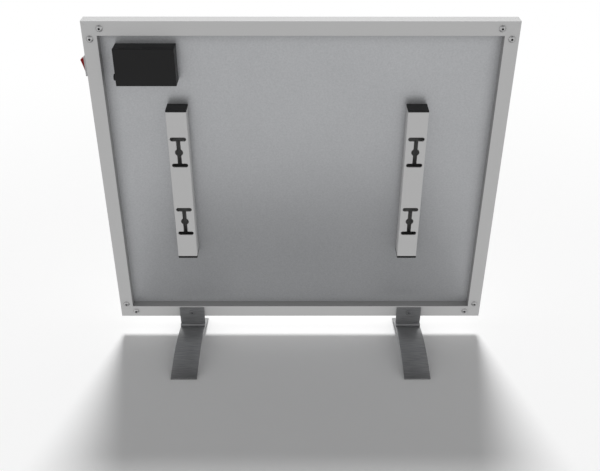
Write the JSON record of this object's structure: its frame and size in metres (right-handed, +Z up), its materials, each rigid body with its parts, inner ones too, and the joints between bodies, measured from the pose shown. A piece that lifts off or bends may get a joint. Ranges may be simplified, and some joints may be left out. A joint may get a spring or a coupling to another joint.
{
  "type": "infrared panel heater",
  "caption": "Thin infrared heating panel in a rail frame, leaning back on arched feet, with a side rocker switch, a rear control box and slotted wall mounting tubes.",
  "frame": {"origin": "on the floor, midway across the panel, under the crown of the feet", "axes": "+X towards the side with the switch, +Y to the rear where the box and tubes are, +Z up"},
  "size_m": [0.6078, 0.186, 0.5379],
  "materials": {
    "frame": "satin anodised",
    "rear_sheet": "matt, finely speckled",
    "tube": "satin",
    "black_plastic": "matt",
    "box_plastic": "matt",
    "switch_grey": "matt",
    "rocker_red": "gloss",
    "screw_steel": "bright zinc",
    "foot_steel": "dark brushed",
    "front_coat": "fine white powder coat",
    "film": "clear amber",
    "foil": "bright etched foil",
    "board": "pressed fibre",
    "seal": "matt",
    "block": "matt",
    "contact_brass": "bare",
    "lead_sleeve": "silicone sleeve",
    "cutout_case": "plated"
  },
  "bodies": {
    "heater": {"bottom_rail": "frame", "switch_side_rail": "frame", "top_rail": "frame", "plain_side_rail": "frame", "corner_brackets": "screw_steel", "corner_screws": "screw_steel", "edge_seal": "seal", "back_sheet": "rear_sheet", "insulation_board": "board", "heating_track": "foil", "heating_film": "film", "front_plate": "front_coat", "mounting_tube_plain_side": "tube", "mounting_tube_switch_side": "tube", "tube_end_caps": "black_plastic", "tube_rivets": "screw_steel", "control_box_base": "box_plastic", "control_box_cover": "box_plastic", "control_box_screws": "screw_steel", "earth_screw": "contact_brass", "cable_gland": "black_plastic", "gland_nut": "black_plastic", "terminal_block": "block", "terminal_screws": "contact_brass", "thermal_cutout": "cutout_case", "switch_leads": "lead_sleeve", "element_leads": "lead_sleeve", "switch_housing": "switch_grey", "switch_terminals": "contact_brass", "foot_arch_plain_side": "foot_steel", "foot_arch_switch_side": "foot_steel", "foot_bracket_plain_side": "foot_steel", "foot_bracket_switch_side": "foot_steel", "foot_nut_plates": "screw_steel", "foot_screws": "screw_steel"},
    "rocker": {"rocker": "rocker_red"},
    "contact_blade": {"contact_blade": "contact_brass"}
  },
  "joints": [
    {"name": "rocker_tilt", "type": "hinge", "parent": "heater", "child": "rocker", "pos_m": [0.3, 0.0114, 0.47198], "axis": [0, -0.9903, 0.1392], "range_deg": [0, 30.4]},
    {"name": "blade_tilt", "type": "hinge", "parent": "heater", "child": "contact_blade", "pos_m": [0.2916, 0.0114, 0.47198], "axis": [0, -0.9903, 0.1392], "range_deg": [-18.24, 0]}
  ],
  "couplings": [
    {"joint": "blade_tilt", "follows": "rocker_tilt", "ratio": -0.6}
  ]
}
